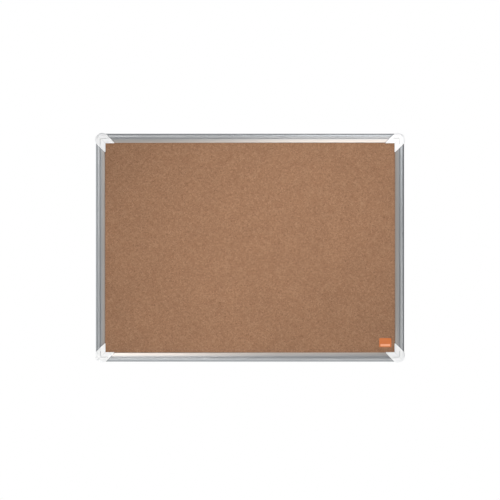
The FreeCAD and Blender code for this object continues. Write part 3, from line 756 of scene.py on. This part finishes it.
def cap_mesh(corner, sizes):
    """One cap: its closed section carried along one arm, round the corner and along the other arm.

    At depth u an arm runs from max(c, u) to the 45 degree end at cap_end + u, where c is the corner's centre.
    Between the arms a point with u < c turns through 90 degrees about (c, c) at radius c - u, and a point
    further in stays at the mitre (u, u). The wall thins from the corner to the wing ends, which are rounded.
    """
    bare_height = sizes.cap_wing_height - WING_END_DROP * sizes.cap_edge_radius
    heights = (CAP_OUTSET, sizes.cap_wing_height, bare_height)
    thick, thin, bare = (closed(cap_outline(sizes, height)) for height in heights)
    centre = sizes.cap_corner_radius - CAP_OUTSET
    share = np.linspace(0, 1, 15)
    taper = share * share * (3 - 2 * share)
    turn = np.radians(np.linspace(0, 90, 21))
    round_off = np.linspace(0, 1, 7)[1:]

    def blended(first, second, weight):
        return first + (second - first) * weight[:, None, None]

    arm = blended(thick, thin, taper)
    tip = blended(thin, bare, 1 - np.sqrt(1 - round_off**2))
    sections = np.concatenate([arm, tip])
    u, d = sections[..., 0], sections[..., 1]
    start = np.maximum(centre, u)
    rest = np.minimum(sizes.cap_end + u, CAP_TIP) - sizes.cap_edge_radius
    reach = np.concatenate([share, np.ones(len(round_off))])[:, None]
    extra = np.concatenate([np.zeros(len(share)), round_off])[:, None] * sizes.cap_edge_radius
    s = start + (rest - start) * reach + extra
    wing, other = np.stack([s, u, d], -1), np.stack([u, s, d], -1)
    u0, d0 = thick[:, 0], np.broadcast_to(thick[:, 1], (len(turn), len(thick)))
    radius, mitre = np.maximum(centre - u0, 0), np.maximum(u0, centre)
    bend = np.stack([mitre - np.outer(np.sin(turn), radius), mitre - np.outer(np.cos(turn), radius), d0], -1)
    a, b, depth = np.moveaxis(np.concatenate([wing[::-1], bend[1:-1], other]), -1, 0)
    sign_x, sign_z = CORNERS[corner]
    points = np.stack([sign_x * (HALF_WIDTH - a), RIM - depth, sign_z * (HALF_HEIGHT - b)], -1)
    # Painted shade: the groove and the mitre crease carry a mask that darkens the cap's colour.
    groove = hollow_mask(np.minimum(a, b), depth, sizes, CAP_OUTSET)
    mitre_line = np.where((np.abs(a - b) < MERGE_DISTANCE) & (depth > CORK_FACE), MITRE_SHADE, 0)
    masks = {"Hollow": np.maximum(groove, mitre_line)}
    return grid_mesh(f"corner_cap_{corner}_moulding", points, None, masks, flat_ends=True)


def granule_relief(rows, columns):
    """Hollows from 0 to 1: seeded random heights, softened by averaging each with its eight neighbours."""
    heights = np.random.default_rng(RELIEF_SEED).random((rows + 2, columns + 2))
    shifts = [(i, j) for i in range(3) for j in range(3)]
    soft = sum(heights[i:i + rows, j:j + columns] for i, j in shifts) / len(shifts)
    return (soft - soft.min()) / (soft.max() - soft.min())


def cork_mesh(sizes):
    """The cork sheet: a grid whose front is pressed in by the granule relief, and whose sides are straight.

    The relief fades to nothing over the strip that the rails' lips cover. One more ring of points at the
    rear plane makes the sides, and its boundary is filled to make the back.
    """
    low, high = CORK_BOX
    columns = int((high.x - low.x) / sizes.cork_pitch)
    rows = int((high.z - low.z) / sizes.cork_pitch)
    x, z = np.meshgrid(np.linspace(low.x, high.x, columns), np.linspace(low.z, high.z, rows))
    from_edge = np.minimum(np.minimum(x - low.x, high.x - x), np.minimum(z - low.z, high.z - z))
    covered = HALF_WIDTH - high.x
    fade = np.clip((from_edge - (RAIL_WIDTH - covered)) / (2 * sizes.cork_pitch), 0, 1)
    y = low.y + sizes.cork_relief * granule_relief(rows, columns) * fade
    ringed = np.pad(np.stack([x, y, z], -1), ((1, 1), (1, 1), (0, 0)), mode="edge")
    ringed[[0, -1], :, 1] = high.y
    ringed[:, [0, -1], 1] = high.y
    return grid_mesh("cork_face", ringed)


def label_mesh(sizes):
    """The label: its rounded outline scaled to a point at both faces, with a quarter-round front rim."""
    low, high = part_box("label")
    middle, half, depth = (low + high) / 2, (high - low) / 2, high.y - low.y
    radius, rim = 1.6 * MM, sizes.label_edge
    signs = ((-1, -1), (1, -1), (1, 1), (-1, 1))
    corners = [(sign_x * half.x, sign_z * half.z, radius) for sign_x, sign_z in signs]
    outline = closed(rounded_outline(corners, 8))
    turn = np.radians(np.linspace(0, 90, 7))
    inset = np.concatenate([[1, 0, 0], (1 - np.cos(turn)) * rim / half.z, [0.3, 1]])
    forward = np.concatenate([[0, 0, FINE_EDGE], depth - rim + np.sin(turn) * rim, [depth, depth]])
    ring = (1 - inset)[:, None, None] * outline
    y = np.broadcast_to((high.y - forward)[:, None], ring.shape[:2])
    return grid_mesh("label_sticker", np.stack([middle.x + ring[..., 0], y, middle.z + ring[..., 1]], -1))


def bumper_mesh(corner, sizes):
    """A bumper: a rounded half section turned about its axis, shallowly dished where it meets the wall."""
    low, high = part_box(f"wall_bumper_{corner}")
    middle, wide, deep = (low + high) / 2, (high.x - low.x) / 2, high.y - low.y
    face, point = 0.85 * wide, MERGE_DISTANCE
    corners = [(0, 0, point), (wide, 0, FINE_EDGE), (face, deep, sizes.bumper_edge), (0, deep, point)]
    radius, forward = rounded_outline(corners, 6).T
    dish = DISH_DEPTH * np.clip(1 - radius / (DISH_SHARE * face), 0, 1)
    forward = forward - np.where(forward > deep - 10 * MERGE_DISTANCE, dish, 0)
    angle = np.linspace(0, 2 * np.pi, 49)
    x = middle.x + np.outer(radius, np.cos(angle))
    z = middle.z + np.outer(radius, np.sin(angle))
    y = np.broadcast_to((low.y + forward)[:, None], x.shape)
    return grid_mesh(f"wall_bumper_{corner}_pad", np.stack([x, y, z], -1))


def repaint(name, material):
    """Gives a CAD node that stays in view its finish."""
    for place in frame["nodes"][name].material_slots:
        place.material = material


# ---- operators
def settings(context):
    """The board's sizes, colours and stage settings."""
    return [getattr(context.scene, name) for name in GROUPS]


class BoardOperator:
    """What the board's operators share."""

    bl_options = {"REGISTER", "UNDO"}


class NOTICE_BOARD_OT_rails(BoardOperator, bpy.types.Operator):
    """Builds the four aluminium rails"""

    bl_idname = "notice_board.rails"
    bl_label = "Rails"

    def execute(self, context):
        sizes, colours, _ = settings(context)
        material = aluminium_material(colours)
        for side in SIDES:
            add_piece(rail_mesh(side, sizes), "board", material, "anodised_frame", f"{side}_rail")
        return {"FINISHED"}


class NOTICE_BOARD_OT_caps(BoardOperator, bpy.types.Operator):
    """Builds the four moulded corner caps"""

    bl_idname = "notice_board.caps"
    bl_label = "Corner caps"

    def execute(self, context):
        sizes, colours, _ = settings(context)
        material = plastic_material("Cap plastic", colours.cap, 0.34, 0.6 * MM, 0.06)
        for corner in CORNERS:
            add_piece(cap_mesh(corner, sizes), "board", material, "cap_plastic", f"corner_cap_{corner}")
        return {"FINISHED"}


class NOTICE_BOARD_OT_panel(BoardOperator, bpy.types.Operator):
    """Builds the cork sheet, and finishes the core board and the rear liner"""

    bl_idname = "notice_board.panel"
    bl_label = "Cork panel"

    def execute(self, context):
        sizes, colours, _ = settings(context)
        add_piece(cork_mesh(sizes), "board", cork_material(colours), "cork", "cork_sheet")
        repaint("core_board", softboard_material(colours))
        repaint("rear_liner", liner_material(colours))
        return {"FINISHED"}


class NOTICE_BOARD_OT_label(BoardOperator, bpy.types.Operator):
    """Builds the small plain label on the cork"""

    bl_idname = "notice_board.label"
    bl_label = "Label"

    def execute(self, context):
        sizes, colours, _ = settings(context)
        low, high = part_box("label")
        side, base = BAR_MARGIN * (high.x - low.x), BAR_MARGIN * (high.z - low.z)
        bar = ((low.x + side, low.z + base), (high.x - side, low.z + BAR_TOP * (high.z - low.z)))
        add_piece(label_mesh(sizes), "board", label_material(colours, bar), "label_print", "label")
        return {"FINISHED"}


class NOTICE_BOARD_OT_brackets(BoardOperator, bpy.types.Operator):
    """Builds the corner brackets and the rubber bumpers in them"""

    bl_idname = "notice_board.brackets"
    bl_label = "Brackets and bumpers"

    def execute(self, context):
        sizes, colours, _ = settings(context)
        plastic = plastic_material("Bracket plastic", colours.bracket, 0.45, 0.5 * MM, 0.25)
        rubber = plastic_material("Bumper rubber", colours.rubber, 0.7, 0.3 * MM, 0.35)
        for corner in CORNERS:
            eased_copy(f"corner_bracket_{corner}", sizes.moulded_edge, plastic, "bracket_plastic")
            add_piece(bumper_mesh(corner, sizes), "board", rubber, "bumper_rubber", f"wall_bumper_{corner}")
        return {"FINISHED"}


class NOTICE_BOARD_OT_hangers(BoardOperator, bpy.types.Operator):
    """Builds the two sliding hangers and the frame's screws"""

    bl_idname = "notice_board.hangers"
    bl_label = "Hangers and screws"

    def execute(self, context):
        sizes, colours, _ = settings(context)
        zinc = zinc_material(colours)
        parts = ("plate", "nut", "screw")
        hangers = [f"hanger_{part}_{side}" for side in ("left", "right") for part in parts]
        for name in (*hangers, "rail_screws", "cap_screws"):
            eased_copy(name, sizes.pressed_edge, zinc, "zinc_steel")
        return {"FINISHED"}


def place_light(name, kind, place, aim, watts):
    """A light at a place, turned towards a point, and never seen by the camera itself."""
    light = bpy.data.lights.new(name, kind)
    light.energy = watts
    lamp = new_object(name, light)
    lamp.location = place
    lamp.rotation_euler = (Vector(aim) - Vector(place)).to_track_quat("-Z", "Y").to_euler()
    lamp.visible_camera = False
    return light


def softbox(name, place, aim, watts, size, tint=(1.0, 1.0, 1.0), spread=180.0):
    """A rectangular soft light whose beam spreads by an angle in degrees."""
    light = place_light(name, "AREA", place, aim, watts)
    light.shape = "RECTANGLE"
    light.size, light.size_y = size
    light.color = tint
    light.spread = math.radians(spread)


def spotlight(name, place, aim, watts, cone, blend):
    """A round soft light with a cone in degrees and a soft edge."""
    light = place_light(name, "SPOT", place, aim, watts)
    light.shadow_soft_size = 0.06
    light.spot_size = math.radians(cone)
    light.spot_blend = blend


def floor_mesh(stage):
    """The floor: rings of points scaled out from its centre, at one level, over a flat underside."""
    share = np.linspace(0, 1, 12)
    angle = np.linspace(0, 2 * np.pi, 97)
    x = stage.floor_radius * np.outer(share, np.cos(angle))
    y = stage.floor_radius * np.outer(share, np.sin(angle))
    rings = np.stack([x, y, np.full_like(x, -stage.floor_drop)], -1)
    base = rings[-1:] - np.array([0, 0, FLOOR_THICKNESS])
    centre = np.broadcast_to([0, 0, -stage.floor_drop - FLOOR_THICKNESS], base.shape)
    return grid_mesh("floor", np.concatenate([rings, base, centre]))


class NOTICE_BOARD_OT_stage(BoardOperator, bpy.types.Operator):
    """Sets the floor, the lights, the room and the camera"""

    bl_idname = "notice_board.stage"
    bl_label = "Stage"

    def execute(self, context):
        scene, (_, colours, stage) = context.scene, settings(context)
        floor = new_object("floor", floor_mesh(stage))
        floor.data.materials.append(floor_material(colours))
        self.place_lights(stage)
        self.light_room(scene, stage)
        self.place_camera(scene, stage)
        return {"FINISHED"}

    def place_lights(self, stage):
        """Softboxes that the rails mirror, round lights on the cork, and softboxes for floor and back."""
        warm, white, narrow = (1.0, 0.94, 0.89), (1.0, 1.0, 1.0), 50
        for key, build, place, aim, *shape in (
            ("upper_left", softbox, (-0.45, -1.25, 0.33), (-0.22, 0, -0.26), (0.6, 0.6), warm, narrow),
            ("lower_right", softbox, (0.45, -1.25, -0.36), (0.24, 0, 0.27), (0.85, 0.55), warm, narrow),
            ("upper_right", softbox, (0.35, -1.25, 0.55), (0.12, 0, 0.2), (0.5, 0.4), white, narrow),
            ("lower_left", softbox, (-0.42, -1.25, -0.52), (-0.25, 0, -0.2), (0.5, 0.4), white, narrow),
            ("left_strip", softbox, (-0.5, -1.25, 0.4), (-0.3, 0, 0.2), (0.3, 0.6), white, narrow),
            ("left_card", softbox, (-1.9, -1.9, 0.3), (0, 0, 0), (1.0, 1.6)),
            ("left_side", softbox, (-1.9, 0.3, 0), (-0.3, 0, 0), (1.2, 1.6)),
            ("top", softbox, (0, -0.35, 1.8), (0, 0, 0), (2.2, 0.8)),
            ("key_right", spotlight, (2.2, -1.9, 1.0), (0.15, 0, 0.06), 17.5, 1.0),
            ("key_top", spotlight, (0.5, -1.9, 2.3), (0.15, 0, 0.06), 17.5, 1.0),
            ("edge", spotlight, (-1.5, -1.5, 1.9), (-0.9, 0, 1.173), 55.4, 0.08),
            ("front_fill", spotlight, (-0.6, -2.6, -0.6), (0, 0, -0.35), 16.0, 1.0),
            ("right_fill", spotlight, (1.8, -2.0, -0.7), (0.12, 0, -0.12), 17.5, 1.0),
            ("floor_light", softbox, (0, 0, -0.4), (0, 0, -1), (5, 5)),
            ("rear", softbox, (-0.5, 2.0, 0.7), (0, 0, 0), (3.4, 2.6)),
        ):
            build(stage.bl_rna.properties[key].name, place, aim, getattr(stage, key), *shape)

    def light_room(self, scene, stage):
        """A white room: at full brightness for the camera, and at the ambient brightness as a light."""
        room = bpy.data.worlds.new("Room")
        scene.world = room
        room.use_nodes = True
        tree = room.node_tree
        tree.nodes.clear()
        lit = node(tree, "Background", {"Color": (0.96, 0.98, 1.0), "Strength": stage.ambient})
        seen = node(tree, "Background", {"Color": (1.0, 1.0, 1.0), "Strength": 1.0})
        camera_ray = node(tree, "LightPath").outputs["Is Camera Ray"]
        mixed = node(tree, "MixShader", {0: camera_ray, 1: lit.outputs[0], 2: seen.outputs[0]})
        node(tree, "OutputWorld", {"Surface": mixed.outputs[0]})
        scene.view_settings.view_transform = "Standard"

    def place_camera(self, scene, stage):
        """A long lens looking square on at the board's face."""
        camera = bpy.data.cameras.new("Camera")
        camera.lens = camera.sensor_width * stage.camera_distance / stage.view_width
        camera.clip_end = 50
        eye = new_object("Camera", camera)
        eye.location = (0, RIM - CROWN - stage.camera_distance, -stage.view_drop)
        eye.rotation_euler = (math.radians(90), 0, 0)
        scene.camera = eye


class NOTICE_BOARD_PT_panel(bpy.types.Panel):
    """Lists the board's operators and settings"""

    bl_idname = "NOTICE_BOARD_PT_panel"
    bl_label = "Cork notice board"
    bl_space_type = "VIEW_3D"
    bl_region_type = "UI"
    bl_category = "Notice board"

    def draw(self, context):
        """Draws one button for each operator and one field for each setting."""
        for operator in OPERATORS:
            self.layout.operator(operator.bl_idname)
        for group in settings(context):
            box = self.layout.box()
            for key in group.bl_rna.properties.keys():
                if key not in ("rna_type", "name"):
                    box.prop(group, key)


OPERATORS = (
    NOTICE_BOARD_OT_rails, NOTICE_BOARD_OT_caps, NOTICE_BOARD_OT_panel, NOTICE_BOARD_OT_label,
    NOTICE_BOARD_OT_brackets, NOTICE_BOARD_OT_hangers, NOTICE_BOARD_OT_stage,
)
GROUPS = {
    "notice_board_sizes": NoticeBoardSizes,
    "notice_board_colours": NoticeBoardColours,
    "notice_board_stage": NoticeBoardStage,
}
CLASSES = (*GROUPS.values(), *OPERATORS, NOTICE_BOARD_PT_panel)


def register():
    """Registers the settings, the operators and the panel."""
    for item in CLASSES:
        bpy.utils.register_class(item)
    for name, group in GROUPS.items():
        setattr(bpy.types.Scene, name, bpy.props.PointerProperty(type=group))


def unregister():
    """Takes away what register added."""
    for name in GROUPS:
        delattr(bpy.types.Scene, name)
    for item in reversed(CLASSES):
        bpy.utils.unregister_class(item)


def main():
    """Builds every piece and the stage."""
    register()
    bpy.ops.notice_board.rails()
    bpy.ops.notice_board.caps()
    bpy.ops.notice_board.panel()
    bpy.ops.notice_board.label()
    bpy.ops.notice_board.brackets()
    bpy.ops.notice_board.hangers()
    bpy.ops.notice_board.stage()


if __name__ == "__main__":
    main()
